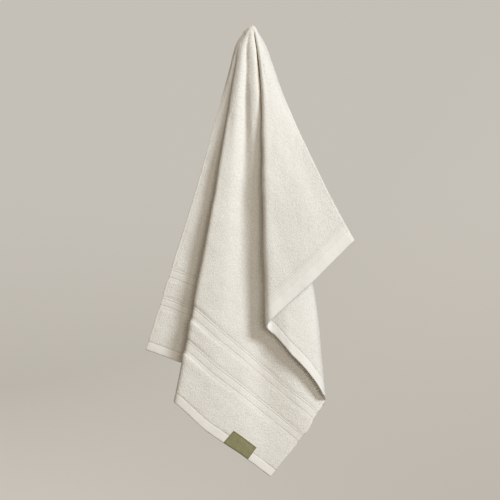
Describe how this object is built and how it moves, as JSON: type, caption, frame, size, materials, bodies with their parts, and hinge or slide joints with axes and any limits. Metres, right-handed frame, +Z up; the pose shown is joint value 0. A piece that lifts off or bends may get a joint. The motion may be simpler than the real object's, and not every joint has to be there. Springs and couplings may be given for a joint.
{
  "type": "hand towel",
  "caption": "Cream terry hand towel hung from one point of its long side, in radial folds, with flat hems, woven borders and a small bare olive label.",
  "frame": {"origin": "hanging point at the top of the towel, where a peg or hook bears on the long edge", "axes": "+Z up, -Y towards the room, +Y towards the wall behind, +X to the right seen from the front"},
  "size_m": [0.3532, 0.1019, 0.7693],
  "materials": {
    "terry": "matte cotton terry",
    "label_tape": "matte woven tape"
  },
  "bodies": {
    "root": {"towel": "terry", "label": "label_tape"}
  },
  "joints": []
}
